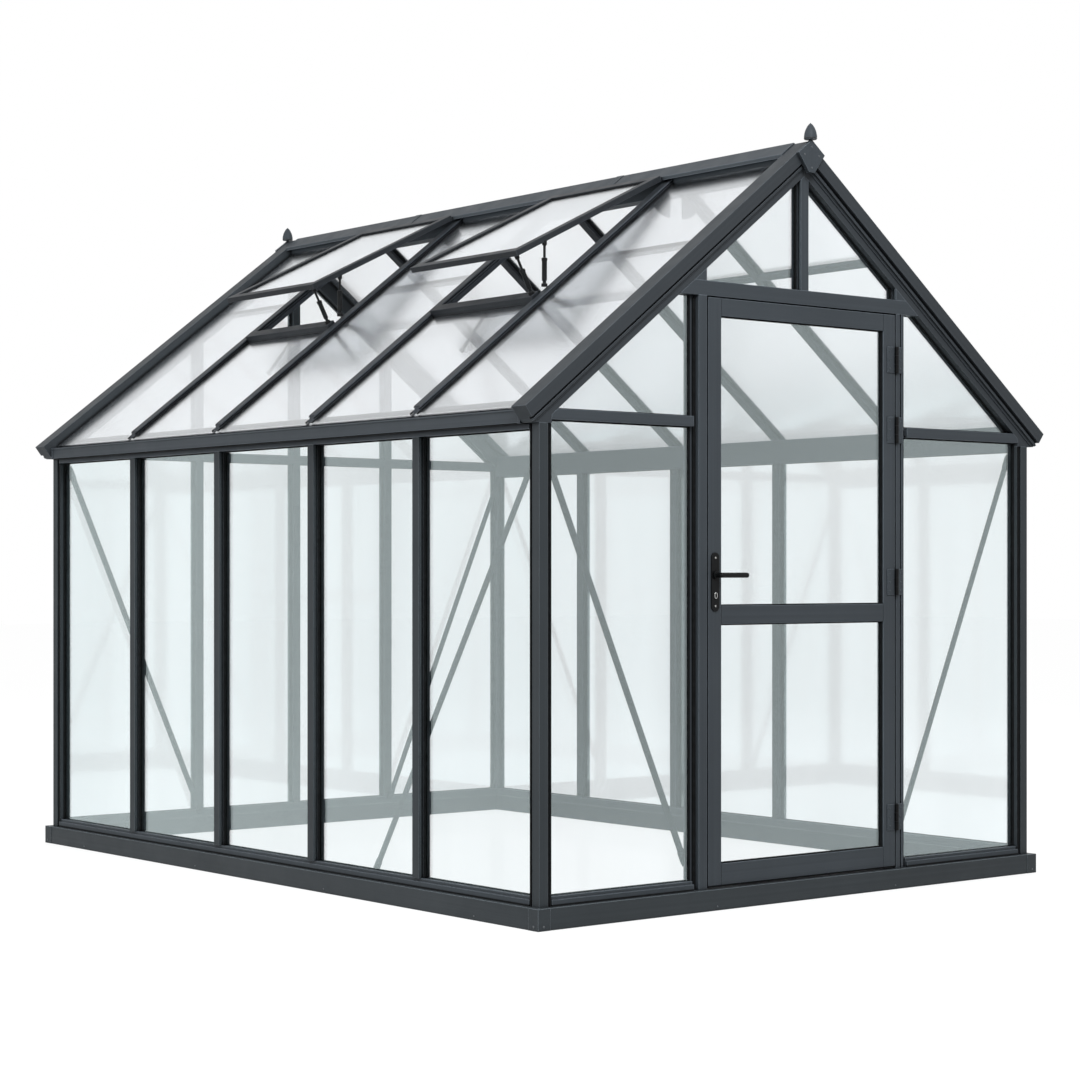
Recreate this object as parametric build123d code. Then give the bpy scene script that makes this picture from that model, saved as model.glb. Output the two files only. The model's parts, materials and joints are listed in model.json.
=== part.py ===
from build123d import *
import math
import os

os.makedirs("parts", exist_ok=True)

# All sizes are millimetres. The door gable faces -Y, the slope with the roof vents faces -X,
# +Z is up, and the origin is on the ground at the middle of the plan.

# Overall sizes
width = 2330.0              # across the gables, outside of the base rails
length = 3160.0             # along the ridge, outside of the base rails
eave_height = 1590.0        # ground to the top edge of the gutters
ridge_underside = 2465.0    # ground to the line where the undersides of the roof bars meet
bay_count = 5               # panes along each side

# Base rails and sills
base_height = 68.0
base_step = 22.0            # how far the base rails stand out from the posts and sills
corner_plate_leg = 47.0
corner_plate_thick = 1.5
sill_height = 30.0

# Frame sections
post_size = 50.0            # corner posts, eave beams, sills and door posts, in and out of the wall
post_face = 34.0            # outer faces of the corner posts, up to the groove beside the glass
post_groove_wide = 10.0
post_groove_deep = 14.0
post_leg_setback = 4.0      # the glazing leg beyond that groove
bar_face = 36.0
bar_depth = 45.0
shadow_groove_start = 8.0   # the dark groove along each side of a bar, from its outer face
shadow_groove_wide = 10.0
shadow_groove_deep = 7.0
glass_thick = 4.0
glass_setback = 25.0        # outer face of the frame to the outer face of the glass
slot_deep = 9.0             # glazing slots in posts, bars, beams and sills
glass_grip = 8.0            # how far a pane reaches into its slot

# Gutters and eave beams
gutter_projection = 35.0
gutter_high = 42.0
gutter_wall = 4.0
eave_lip = 17.0             # the eave beam shows this much below the gutter
eave_seat_drop = 5.0        # top of the gutter down to the seat of the roof bars at the wall face
eave_strip_wide = 30.0
pane_overhang = 12.0        # the roof panes end this far out over the gutters

# Gables
gable_bar_drop = 30.0       # underside of the bar across the gable, below the gutters' top edge
gable_bar_high = 33.0
barge_wide = 90.0
barge_proud = 20.0
barge_rise = 8.0            # top of the barge bars above the roof bars
barge_overhang = 70.0       # the barge bars end this far outside the wall face
barge_end_square = 50.0     # length of the square cut at their lower ends
barge_foot_inset = 12.0
barge_front_band = 42.0
barge_bead_start = 52.0
barge_bead_wide = 8.0
barge_bead_proud = 12.0
barge_step_proud = 4.0
barge_leg_start = 68.0

# Door
door_width = 880.0
door_thick = 28.0
door_side_gap = 6.0
door_top_gap = 5.0
door_bottom_gap = 10.0
door_top = 1980.0
door_stile_wide = 57.0
door_top_rail = 57.0
door_mid_rail = 60.0
door_mid_rail_low = 923.0
door_bottom_rail = 68.0
door_glass_setback = 12.0
door_stop_wide = 11.0
door_stop_gap = 5.0
door_post_leg = 21.0        # the stepped glazing leg beside each door post
door_post_leg_cover = 3.0   # metal of that leg in front of the glass
hinge_channel_start = 19.0  # the groove down the face of the hinge post, from its door side
hinge_channel_wide = 8.0
hinge_channel_deep = 6.0
header_high = 48.0

# Hinges
hinge_heights = (246.0, 1058.0, 1583.0, 1825.0)
hinge_high = 90.0
knuckle_radius = 7.0
knuckle_gap = 0.5
pin_radius = 3.0
pin_clearance = 0.1
hinge_leaf_thick = 3.0
hinge_leaf_wide = 34.0
hinge_post_leaf_wide = 24.0
hinge_leaf_relief = 1.0

# Handle
lever_height = 1082.0
handle_plate_high = 190.0
handle_plate_wide = 34.0
handle_plate_thick = 4.0
handle_plate_corner = 16.0
handle_plate_drop = 22.0    # centre of the plate below the spindle
lever_radius = 8.5
lever_reach = 112.0
lever_standoff = 34.0       # door face to the middle of the lever
rose_radius = 13.0
rose_thick = 8.0
spindle_radius = 5.0
spindle_clearance = 0.5
lever_gap = 0.5

# Ridge
ridge_beam_wide = 60.0
ridge_beam_high = 75.0
ridge_wing = 58.0           # half width of the ridge cap
ridge_cap_thick = 10.0
ridge_end_thick = 14.0
ridge_end_margin = 3.0
ridge_end_tail = 62.0
ridge_end_tail_wide = 26.0
finial_high = 62.0
finial_radius = 22.0
finial_neck = 6.5
finial_neck_share = 0.1     # the neck's height as a share of the finial's
finial_belly_share = 0.2    # height of the widest place, as a share of the finial's
finial_foot_share = 0.93    # radius just above the neck, as a share of the widest
finial_taper = 0.8          # how bluntly the finial rounds off towards its tip
finial_steps = 8

# Roof vents, fixed open as they stand, in the second and fourth bays of the left slope
vent_bays = (1, 3)
vent_open_angle = 11.5
vent_sill_from_ridge = 780.0
vent_overlap = 24.0
vent_side_overlap = 12.0
vent_frame_wide = 34.0
vent_frame_thick = 20.0
vent_hinge_gap = 5.0        # ridge cap to the upper edge of a vent
stay_radius = 5.0
sill_stay_inset = 15.0      # from the end of the sill to the stay that stands on it
bar_stay_rise = 135.0       # from the lower edge of a vent up to the stay on its side rail
stay_arm_length = 190.0
stay_arm_angle = 52.0

# Purlins, gussets and braces
purlin_from_ridge = 534.0
purlin_wide = 28.0
gusset_radius = 95.0
gusset_thick = 6.0
brace_wide = 24.0
brace_thick = 3.0
brace_top_drop = 15.0
brace_side_reach = 1.45     # the side brace ends this many bays from the front corner
brace_door_rise = 48.0      # foot of the front braces above the sill
brace_door_inset = 9.0
cut_past = 1.0              # how far a cut runs past the face that it opens

# Places worked out from the sizes above
half_w = width / 2 - base_step
half_l = length / 2 - base_step
base_deep = base_step + post_size
sill_top = base_height + sill_height
gutter_low = eave_height - gutter_high
post_top = gutter_low
gable_bar_low = eave_height - gable_bar_drop
eave_low = gutter_low - eave_lip
eave_seat = eave_height - eave_seat_drop
pitch = math.atan2(ridge_underside - eave_seat, half_w)
slope_cos = math.cos(pitch)
slope_sin = math.sin(pitch)
slope_tan = math.tan(pitch)
roof_apex = ridge_underside + bar_depth / slope_cos
barge_apex = roof_apex + barge_rise
bay_pitch = (2 * half_l - post_size) / bay_count
bar_places = [-half_l + post_size / 2 + bay_pitch * i for i in range(1, bay_count)]
bay_edges = [-half_l + post_size / 2] + bar_places + [half_l - post_size / 2]
roof_inner = half_l - post_size
span = half_w - post_size
door_low = base_height + door_bottom_gap
door_post_in = door_width / 2 + door_side_gap
door_post_out = door_post_in + bar_face + door_post_leg
header_low = door_top + door_top_gap
back_bar_place = door_post_out - bar_face / 2
hinge_x = door_width / 2 + door_side_gap / 2
hinge_y = -half_l - knuckle_radius
handle_x = -door_width / 2 + door_stile_wide / 2
vent_hinge_drop = ridge_wing / slope_cos + vent_hinge_gap
slot_near = -glass_setback
slot_far = -glass_setback - glass_thick

# Each face of the building has a plane whose first direction runs to the right as it is seen
# from outside, the second up it and the third outwards.
front = Plane(origin=(0, -half_l, 0), x_dir=(1, 0, 0), z_dir=(0, -1, 0))
back = Plane(origin=(0, half_l, 0), x_dir=(-1, 0, 0), z_dir=(0, 1, 0))
left = Plane(origin=(-half_w, 0, 0), x_dir=(0, -1, 0), z_dir=(-1, 0, 0))
right = Plane(origin=(half_w, 0, 0), x_dir=(0, 1, 0), z_dir=(1, 0, 0))
roof_left = Plane(origin=(0, 0, roof_apex), x_dir=(0, -1, 0), z_dir=(-slope_sin, 0, slope_cos))
roof_right = Plane(origin=(0, 0, roof_apex), x_dir=(0, 1, 0), z_dir=(slope_sin, 0, slope_cos))


def block(x0, x1, y0, y1, z0, z1):
    centre = Pos((x0 + x1) / 2, (y0 + y1) / 2, (z0 + z1) / 2)
    return centre * Box(abs(x1 - x0), abs(y1 - y0), abs(z1 - z0))


def plank(face, across, up, out):
    """A straight block on one face of the building, from its three ranges there."""
    return face * block(across[0], across[1], up[0], up[1], out[0], out[1])


def sheet(face, points, out):
    """A flat shape given by its corners on one face, thick over the given range."""
    outline = make_face(Polyline(*points, close=True))
    return face * (Pos(0, 0, out[0]) * extrude(outline, amount=out[1] - out[0]))


def along_length(points, reach=None):
    """A section drawn across the building, as (x, z) corners, run along it."""
    reach = roof_inner if reach is None else reach
    section = Plane(origin=(0, reach, 0), x_dir=(1, 0, 0), z_dir=(0, -1, 0))
    return extrude(section * make_face(Polyline(*points, close=True)), amount=2 * reach)


def spot(face, across, up, out):
    return face.from_local_coords(Vector(across, up, out))


def save(name, *shapes):
    """Write one node, made of solids that don't overlap each other."""
    solids = [solid for shape in shapes for solid in shape.solids()]
    export_step(solids[0] if len(solids) == 1 else Compound(solids), "parts/" + name + ".step")


def glazing_bar(face, middle, up, upright=True, half=bar_face / 2, deep=bar_depth):
    """A bar with a dark groove and a glazing slot along both of its sides."""
    body = plank(face, *turned((middle - half, middle + half), up, upright), (-deep, 0))
    for side in (-1, 1):
        edge = middle + side * half
        groove = (-shadow_groove_start - shadow_groove_wide, -shadow_groove_start)
        cuts = ((shadow_groove_deep, groove), (slot_deep, (slot_far, slot_near)))
        for cut_deep, out in cuts:
            body -= plank(face, *turned((edge - side * cut_deep, edge + side), up, upright), out)
    return body


def turned(across, up, upright):
    return (across, up) if upright else (up, across)


def roof_line(drop):
    """Height of a line that runs parallel to the slope at x = 0, this far below the roof bars' top."""
    return roof_apex - drop / slope_cos


# Base rails, mitred at the corners, with plates over the corners
def base_rails():
    rails = {}
    for name, long_half, side_half, turn in (
        ("base_front", width / 2, length / 2, 0),
        ("base_right", length / 2, width / 2, 90),
        ("base_back", width / 2, length / 2, 180),
        ("base_left", length / 2, width / 2, 270),
    ):
        inner = long_half - base_deep
        corners = [
            (-long_half, -side_half),
            (long_half, -side_half),
            (inner, -side_half + base_deep),
            (-inner, -side_half + base_deep),
        ]
        rail = extrude(make_face(Polyline(*corners, close=True)), amount=base_height)
        rails[name] = Rot(0, 0, turn) * rail
    return rails


def corner_plates():
    plates = []
    for side_x in (-1, 1):
        for side_y in (-1, 1):
            x_out = side_x * (width / 2 + corner_plate_thick)
            y_out = side_y * (length / 2 + corner_plate_thick)
            x_in = side_x * (width / 2 - corner_plate_leg)
            y_in = side_y * (length / 2 - corner_plate_leg)
            outer = block(x_out, x_in, y_out, y_in, 0, base_height)
            inner = block(side_x * width / 2, x_in - side_x, side_y * length / 2, y_in - side_y,
                          -cut_past, base_height + cut_past)
            plates.append(outer - inner)
    return plates


# Sills between the posts, slotted for the glass
def sill(face, start, end):
    body = plank(face, (start, end), (base_height, sill_top), (-post_size, 0))
    slot = plank(face, (start, end), (sill_top - slot_deep, sill_top + cut_past), (slot_far, slot_near))
    lip = plank(face, (start, end), (sill_top - shadow_groove_wide, sill_top + cut_past),
                (-shadow_groove_start, cut_past))
    return body - slot - lip


# Corner posts, slotted on the two sides that meet glass
def corner_post(side_x, side_y):
    x_out = side_x * half_w
    y_out = side_y * half_l
    x_in = x_out - side_x * post_size
    y_in = y_out - side_y * post_size
    body = block(x_out, x_in, y_out, y_in, base_height, post_top)
    x_glass = x_out - side_x * glass_setback
    y_glass = y_out - side_y * glass_setback
    body -= block(x_glass, x_glass - side_x * glass_thick, y_in + side_y * slot_deep, y_in - side_y,
                  base_height - cut_past, post_top + cut_past)
    body -= block(x_in + side_x * slot_deep, x_in - side_x, y_glass, y_glass - side_y * glass_thick,
                  base_height - cut_past, post_top + cut_past)
    for from_x, from_y in ((post_face, 0), (0, post_face)):
        for wide, deep in ((post_groove_wide, post_groove_deep), (post_size - post_face, post_leg_setback)):
            far_x = from_x + (wide if from_x else deep)
            far_y = from_y + (wide if from_y else deep)
            body -= block(x_out - side_x * (from_x or -cut_past), x_out - side_x * far_x,
                          y_out - side_y * (from_y or -cut_past), y_out - side_y * far_y,
                          base_height - cut_past, post_top + cut_past)
    return body


# Eave beams carry the roof bars on a sloped seat; each gutter hangs on the outside of one
def eave_beam(face, side):
    section = [
        (side * (half_w - post_size), eave_low),
        (side * half_w, eave_low),
        (side * half_w, eave_seat),
        (side * (half_w - post_size), eave_seat + post_size * slope_tan),
    ]
    slot = plank(face, (-roof_inner, roof_inner), (eave_low - cut_past, eave_low + slot_deep),
                 (slot_far, slot_near))
    return along_length(section) - slot


def gutter(face):
    reach = (-roof_inner, roof_inner)
    trough = plank(face, reach, (gutter_low, eave_height), (0, gutter_projection))
    hollow = plank(face, reach, (gutter_low + gutter_wall, eave_height + cut_past),
                   (gutter_wall, gutter_projection - gutter_wall))
    lowered = plank(face, reach, (eave_seat, eave_height + cut_past), (-cut_past, gutter_wall))
    return trough - hollow - lowered


def eave_strips(roof):
    """Closing strips between the roof bars, from the eave beam's seat up to the glass."""
    low = -(half_w - slope_sin * slot_far) / slope_cos
    strips = []
    for start, end in zip(bay_edges[:-1], bay_edges[1:]):
        half = bar_face / 2
        first = max(start + half, -roof_inner)
        last = min(end - half, roof_inner)
        strips.append(plank(roof, (first, last), (low, low + eave_strip_wide), (-bar_depth, slot_far)))
    return strips


# Barge bars: a broad stepped frame along each sloping gable edge
def barge_height(drop, x):
    return barge_apex - drop / slope_cos - abs(x) * slope_tan


def barge(face, side):
    end_x = half_w + barge_overhang
    cut_x = end_x - barge_end_square * slope_sin
    outline = [
        (0, barge_apex),
        (side * end_x, barge_height(0, end_x)),
        (side * cut_x, barge_height(0, end_x) - barge_end_square * slope_cos),
        (side * (cut_x - barge_foot_inset), post_top),
        (side * span, post_top),
        (side * span, barge_height(barge_wide, span)),
        (0, barge_height(barge_wide, 0)),
    ]
    body = sheet(face, outline, (-post_size, 0))
    whole = sheet(face, outline, (-post_size, barge_proud + cut_past))

    def band(start, stop, out):
        corners = [
            (0, barge_height(start, 0)),
            (side * 2 * half_w, barge_height(start, 2 * half_w)),
            (side * 2 * half_w, barge_height(stop, 2 * half_w)),
            (0, barge_height(stop, 0)),
        ]
        return sheet(face, corners, out)

    body += whole & band(0, barge_front_band, (0, barge_proud))
    body += whole & band(barge_front_band, barge_leg_start, (0, barge_step_proud))
    body += whole & band(barge_bead_start, barge_bead_start + barge_bead_wide, (0, barge_bead_proud))
    body -= band(barge_wide - slot_deep, barge_wide + cut_past, (slot_far, slot_near))
    foot_slot = sorted((side * (span - cut_past), side * (span + slot_deep)))
    foot_rise = (post_top - cut_past, gable_bar_low + slot_deep)
    return body - plank(face, foot_slot, foot_rise, (slot_far, slot_near))


# Gable bars above the eaves, cut to the slope
def below_barge(face, shape):
    """Cut a gable bar where the underside of the barge bars crosses it."""
    roof = [
        (0, barge_height(barge_wide, 0)),
        (-half_w, barge_height(barge_wide, half_w)),
        (-half_w, barge_apex),
        (half_w, barge_apex),
        (half_w, barge_height(barge_wide, half_w)),
    ]
    return shape - sheet(face, roof, (-post_size - cut_past, cut_past))


def gable_upright(face, middle, low, half=bar_face / 2):
    return below_barge(face, glazing_bar(face, middle, (low, barge_height(barge_wide, 0)), half=half))


def gable_pane(face, start, end, low, grip_left, grip_right):
    """A pane under the barge, with its top cut to the slope on one side of the middle."""
    x0 = start - grip_left
    x1 = end + grip_right
    drop = barge_wide - glass_grip
    points = [(x0, low), (x1, low), (x1, barge_height(drop, x1)), (x0, barge_height(drop, x0))]
    return sheet(face, points, (slot_far, slot_near))


def eave_corner_pane(face, side, inner):
    """The three-cornered pane between a gable's eave bar, its upright and the barge."""
    drop = barge_wide - glass_grip
    low = gable_bar_low + gable_bar_high - glass_grip
    corner = (barge_apex - drop / slope_cos - low) / slope_tan
    near = inner - glass_grip
    points = [(side * near, low), (side * corner, low), (side * near, barge_height(drop, near))]
    return sheet(face, points, (slot_far, slot_near))


# Door posts, with the glazing leg outside and the door stop inside
def door_post(side):
    face_side = (side * door_post_in, side * (door_post_in + bar_face))
    leg_side = (side * (door_post_in + bar_face), side * door_post_out)
    stop_side = (side * (door_post_in - door_stop_wide), side * door_post_in)
    rise = (base_height, header_low)
    body = plank(front, sorted(face_side), rise, (-post_size, 0))
    body += plank(front, sorted(leg_side), rise, (-post_size, door_post_leg_cover - glass_setback))
    body += plank(front, sorted(stop_side), rise, (-post_size, -door_thick - door_stop_gap))
    slot = (side * (door_post_out - slot_deep), side * (door_post_out + cut_past))
    body -= plank(front, sorted(slot), rise, (slot_far, slot_near))
    if side > 0:
        channel_start = door_post_in + hinge_channel_start
        channel = (channel_start, channel_start + hinge_channel_wide)
        body -= plank(front, channel, rise, (-hinge_channel_deep, cut_past))
    return below_barge(front, body)


def door_header():
    low_x = (barge_apex - barge_wide / slope_cos - header_low) / slope_tan
    high = header_low + header_high
    high_x = (barge_apex - barge_wide / slope_cos - high) / slope_tan
    ends = [(-low_x, header_low), (low_x, header_low), (high_x, high), (-high_x, high)]
    body = sheet(front, ends, (-post_size, 0))
    inside = (-door_post_in + door_stop_wide, door_post_in - door_stop_wide)
    body += plank(front, inside, (header_low - door_stop_wide, header_low),
                  (-post_size, -door_thick - door_stop_gap))
    top_slot = plank(front, (-high_x, high_x), (high - slot_deep, high + cut_past), (slot_far, slot_near))
    groove = plank(front, (-high_x, high_x), (high - shadow_groove_deep, high + cut_past),
                   (-shadow_groove_start - shadow_groove_wide, -shadow_groove_start))
    body -= top_slot
    body -= groove
    for side in (-1, 1):
        outer = (side * (door_post_out - slot_deep), side * (low_x + cut_past))
        body -= plank(front, sorted(outer), (header_low - cut_past, high + cut_past), (slot_far, slot_near))
    return body


# Ridge
def ridge_beam():
    half = ridge_beam_wide / 2
    top = roof_line(0) - half * slope_tan
    low = top - ridge_beam_high
    points = [(-half, low), (half, low), (half, top), (0, roof_line(0)), (-half, top)]
    return along_length(points)


def ridge_cap():
    wing = ridge_wing
    thick = ridge_cap_thick / slope_cos
    low = roof_line(0) - wing * slope_tan
    points = [
        (0, roof_line(0)),
        (wing, low),
        (wing, low + thick),
        (0, roof_line(0) + thick),
        (-wing, low + thick),
        (-wing, low),
    ]
    return along_length(points)


def ridge_end(face):
    wing = ridge_wing + ridge_end_margin
    top = barge_apex + ridge_end_margin
    corner = top - wing * slope_tan
    tail = ridge_end_tail_wide / 2
    points = [
        (0, top),
        (wing, corner),
        (tail, corner - ridge_end_tail),
        (-tail, corner - ridge_end_tail),
        (-wing, corner),
    ]
    return sheet(face, points, (barge_proud, barge_proud + ridge_end_thick))


def finial(face):
    foot = barge_apex + ridge_end_margin - finial_neck * slope_tan
    neck_top = foot + finial_neck_share * finial_high
    profile = [(0, foot), (finial_neck, foot), (finial_neck, neck_top)]
    profile.append((finial_foot_share * finial_radius, neck_top))
    for step in range(finial_steps + 1):
        rise = step / finial_steps
        high = finial_belly_share + (1 - finial_belly_share) * rise
        profile.append((finial_radius * (1 - rise ** 2) ** finial_taper, foot + finial_high * high))
    turned_part = revolve(Plane.XZ * make_face(Polyline(*profile, close=True)), axis=Axis.Z)
    middle = face.origin + face.z_dir * (barge_proud + ridge_end_thick / 2)
    shape = Pos(middle.X, middle.Y, 0) * turned_part
    return shape - ridge_end(face)


# Roof bars run from the ridge beam down over the eave beam
def roof_bar(roof, middle):
    low = -(half_w + slope_sin * bar_depth) / slope_cos
    bar = glazing_bar(roof, middle, (low, 0))
    half = ridge_beam_wide / 2
    bar -= block(-half, half, -length, length, 0, 2 * roof_apex)
    for side in (-1, 1):
        bar -= block(side * half_w, side * 2 * half_w, -length, length, 0, 2 * roof_apex)
    return bar


def roof_panes(roof, vented):
    panes = []
    eave = -(half_w + pane_overhang - slope_sin * slot_far) / slope_cos
    ridge = -(ridge_beam_wide / 2 + slope_sin * (glass_setback + glass_thick)) / slope_cos
    for bay, (start, end) in enumerate(zip(bay_edges[:-1], bay_edges[1:])):
        first = start + bar_face / 2 - glass_grip
        last = end - bar_face / 2 + glass_grip
        first = max(first, -roof_inner)
        last = min(last, roof_inner)
        top = -vent_sill_from_ridge - bar_face + glass_grip if bay in vented else ridge
        panes.append(plank(roof, (first, last), (eave, top), (slot_far, slot_near)))
    return panes


def purlins(roof, bays):
    rails = []
    for bay in bays:
        first = max(bay_edges[bay] + bar_face / 2, -roof_inner)
        last = min(bay_edges[bay + 1] - bar_face / 2, roof_inner)
        high = -purlin_from_ridge + purlin_wide / 2
        rails.append(plank(roof, (first, last), (high - purlin_wide, high), (-bar_depth, slot_far)))
    return rails


def vent_sill(bay):
    first = bay_edges[bay] + bar_face / 2
    last = bay_edges[bay + 1] - bar_face / 2
    low = -vent_sill_from_ridge - bar_face
    rail = plank(roof_left, (first, last), (low, low + bar_face), (-bar_depth, 0))
    return rail - plank(roof_left, (first, last), (low - cut_past, low + slot_deep), (slot_far, slot_near))


# Roof vents: a framed pane hinged under the ridge cap, standing open on a stay
def vent_face():
    """The plane of an open vent, turned about its hinge line below the ridge cap."""
    tilt = pitch - math.radians(vent_open_angle)
    hinge = spot(roof_left, 0, -vent_hinge_drop, 0)
    return Plane(origin=hinge, x_dir=(0, -1, 0), z_dir=(-math.sin(tilt), 0, math.cos(tilt)))


def vent_sizes(bay):
    first = bay_edges[bay] + bar_face / 2 - vent_side_overlap
    last = bay_edges[bay + 1] - bar_face / 2 + vent_side_overlap
    reach = vent_sill_from_ridge + vent_overlap - vent_hinge_drop
    return first, last, reach


def vent_frame(bay):
    first, last, reach = vent_sizes(bay)
    face = vent_face()
    frame = plank(face, (first, last), (-reach, 0), (0, vent_frame_thick))
    inside = (first + vent_frame_wide, last - vent_frame_wide)
    frame -= plank(face, inside, (-reach + vent_frame_wide, -vent_frame_wide),
                   (-cut_past, vent_frame_thick + cut_past))
    middle = vent_frame_thick / 2
    slot = (first + vent_frame_wide - slot_deep, last - vent_frame_wide + slot_deep)
    frame -= plank(face, slot, (-reach + vent_frame_wide - slot_deep, -vent_frame_wide + slot_deep),
                   (middle - glass_thick / 2, middle + glass_thick / 2))
    return frame


def vent_pane(bay):
    first, last, reach = vent_sizes(bay)
    edge = vent_frame_wide - glass_grip
    middle = vent_frame_thick / 2
    return plank(vent_face(), (first + edge, last - edge), (-reach + edge, -edge),
                 (middle - glass_thick / 2, middle + glass_thick / 2))


def rod(start, end, radius):
    run = end - start
    return Plane(origin=start, z_dir=run) * Pos(0, 0, run.length / 2) * Cylinder(radius, run.length)


def vent_stay(bay):
    """Rods at one side of an open vent, on the sill and the roof bar, and the arm that hangs inside."""
    last, reach = vent_sizes(bay)[1:]
    sill_end = last - vent_side_overlap - sill_stay_inset
    sill_middle = -vent_sill_from_ridge - bar_face / 2
    foot = spot(roof_left, sill_end, sill_middle, -stay_radius)
    head = spot(vent_face(), sill_end, -reach + vent_frame_wide / 2, stay_radius)
    sill_stay = rod(foot, head, stay_radius) - vent_frame(bay) - vent_sill(bay)
    side_rail = last - vent_side_overlap / 2
    head = spot(vent_face(), side_rail, -reach + bar_stay_rise, 0)
    down = roof_left.to_local_coords(head)
    foot = spot(roof_left, side_rail, down.Y - down.Z * slope_tan, 0)
    bar_stay = rod(foot - Vector(0, 0, stay_radius), head + Vector(0, 0, stay_radius), stay_radius)
    bar_stay -= vent_frame(bay)
    bar_stay -= roof_bar(roof_left, bay_edges[bay + 1])
    hook = spot(roof_left, (bay_edges[bay] + bay_edges[bay + 1]) / 2, sill_middle, -bar_depth + stay_radius)
    angle = math.radians(stay_arm_angle)
    end = hook + Vector(-math.cos(angle), 0, -math.sin(angle)) * stay_arm_length
    return sill_stay, bar_stay, rod(hook, end, stay_radius) - vent_sill(bay)


def ridge_gusset(side, place):
    """A quarter plate in the corner between the ridge beam and the underside of a roof bar."""
    corner_x = side * ridge_beam_wide / 2
    corner = Pos(corner_x, place, roof_line(bar_depth) - abs(corner_x) * slope_tan)
    disc = corner * Rot(90, 0, 0) * Cylinder(gusset_radius, gusset_thick)
    disc -= block(corner_x, -side * 2 * gusset_radius, -length, length, 0, 2 * roof_apex)
    roof = roof_right if side > 0 else roof_left
    return disc - plank(roof, (-length, length), (-length, length), (-bar_depth, gusset_radius))


# Braces: flat strips inside the glass
def brace(face, start, end):
    run = (end[0] - start[0], end[1] - start[1])
    long = math.hypot(*run)
    angle = math.degrees(math.atan2(run[1], run[0]))
    strip = Pos(start[0], start[1], -post_size - brace_thick) * Rot(0, 0, angle)
    strip *= Pos(long / 2, 0, brace_thick / 2)
    return face * (strip * Box(long, brace_wide, brace_thick))


# Door leaf
def door_parts():
    half = door_width / 2
    out = (-door_thick, 0)
    glass = (-door_glass_setback - glass_thick, -door_glass_setback)
    inner = half - door_stile_wide
    bottom_top = door_low + door_bottom_rail
    top_low = door_top - door_top_rail
    mid_top = door_mid_rail_low + door_mid_rail
    stiles = []
    for side in (-1, 1):
        stile = plank(front, sorted((side * half, side * inner)), (door_low, door_top), out)
        slot = sorted((side * (inner + slot_deep), side * (inner - cut_past)))
        stile -= plank(front, slot, (bottom_top - slot_deep, top_low + slot_deep), glass)
        stiles.append(stile)
    hole = Pos(-half + door_stile_wide / 2, -half_l + door_thick / 2, lever_height)
    hole *= Rot(90, 0, 0)
    stiles[0] -= hole * Cylinder(spindle_radius + spindle_clearance, door_thick + 2 * cut_past)
    rails = []
    for low, high, below, above in (
        (door_low, bottom_top, False, True),
        (door_mid_rail_low, mid_top, True, True),
        (top_low, door_top, True, False),
    ):
        rail = plank(front, (-inner, inner), (low, high), out)
        if below:
            rail -= plank(front, (-inner, inner), (low - cut_past, low + slot_deep), glass)
        if above:
            rail -= plank(front, (-inner, inner), (high - slot_deep, high + cut_past), glass)
        rails.append(rail)
    wide = (-inner - glass_grip, inner + glass_grip)
    panes = [
        plank(front, wide, (bottom_top - glass_grip, door_mid_rail_low + glass_grip), glass),
        plank(front, wide, (mid_top - glass_grip, top_low + glass_grip), glass),
    ]
    return stiles, rails, panes


# Hinges: the door carries the two outer knuckles, the post the middle one and the pin
def knuckle(height, low, high, radius):
    middle = Pos(hinge_x, hinge_y, height + (low + high) / 2)
    return middle * Cylinder(radius, high - low)


def hinge_door_leaf(height):
    half = hinge_high / 2
    third = hinge_high / 6
    start = hinge_x - knuckle_radius - hinge_leaf_relief
    leaf = block(start - hinge_leaf_wide, start, -half_l - hinge_leaf_thick, -half_l,
                 height - half, height + half)
    for low, high in ((-half, -third - knuckle_gap / 2), (third + knuckle_gap / 2, half)):
        leaf += block(start - cut_past, hinge_x, -half_l - hinge_leaf_thick, -half_l,
                      height + low, height + high)
        leaf += knuckle(height, low, high, knuckle_radius)
        leaf -= knuckle(height, low - cut_past, high + cut_past, pin_radius + pin_clearance)
    corner = block(hinge_x - door_side_gap / 2, hinge_x + knuckle_radius, -half_l, -half_l + knuckle_radius,
                   height - half, height + half)
    return leaf - corner


def hinge_post_leaf(height):
    half = hinge_high / 2
    third = hinge_high / 6
    start = hinge_x + knuckle_radius + hinge_leaf_relief
    leaf = block(start, start + hinge_post_leaf_wide, -half_l - hinge_leaf_thick, -half_l,
                 height - half, height + half)
    low = -third + knuckle_gap / 2
    high = third - knuckle_gap / 2
    leaf += block(hinge_x, start + cut_past, -half_l - hinge_leaf_thick, -half_l, height + low, height + high)
    leaf += knuckle(height, low, high, knuckle_radius)
    leaf += knuckle(height, -half, half, pin_radius)
    return leaf


# Handle: a long plate on each face of the stile, with a lever on both ends of the spindle
def handle_plates():
    plates = []
    middle = lever_height - handle_plate_drop
    for outward in (True, False):
        near = 0 if outward else -door_thick - handle_plate_thick
        outline = Plane.XY * RectangleRounded(handle_plate_wide, handle_plate_high, handle_plate_corner)
        plate = extrude(outline, amount=handle_plate_thick)
        plate = front * (Pos(handle_x, middle, near) * plate)
        hole = Pos(handle_x, -half_l, lever_height) * Rot(90, 0, 0)
        plate -= hole * Cylinder(spindle_radius + spindle_clearance, 4 * door_thick)
        plates.append(plate)
    return plates


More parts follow.
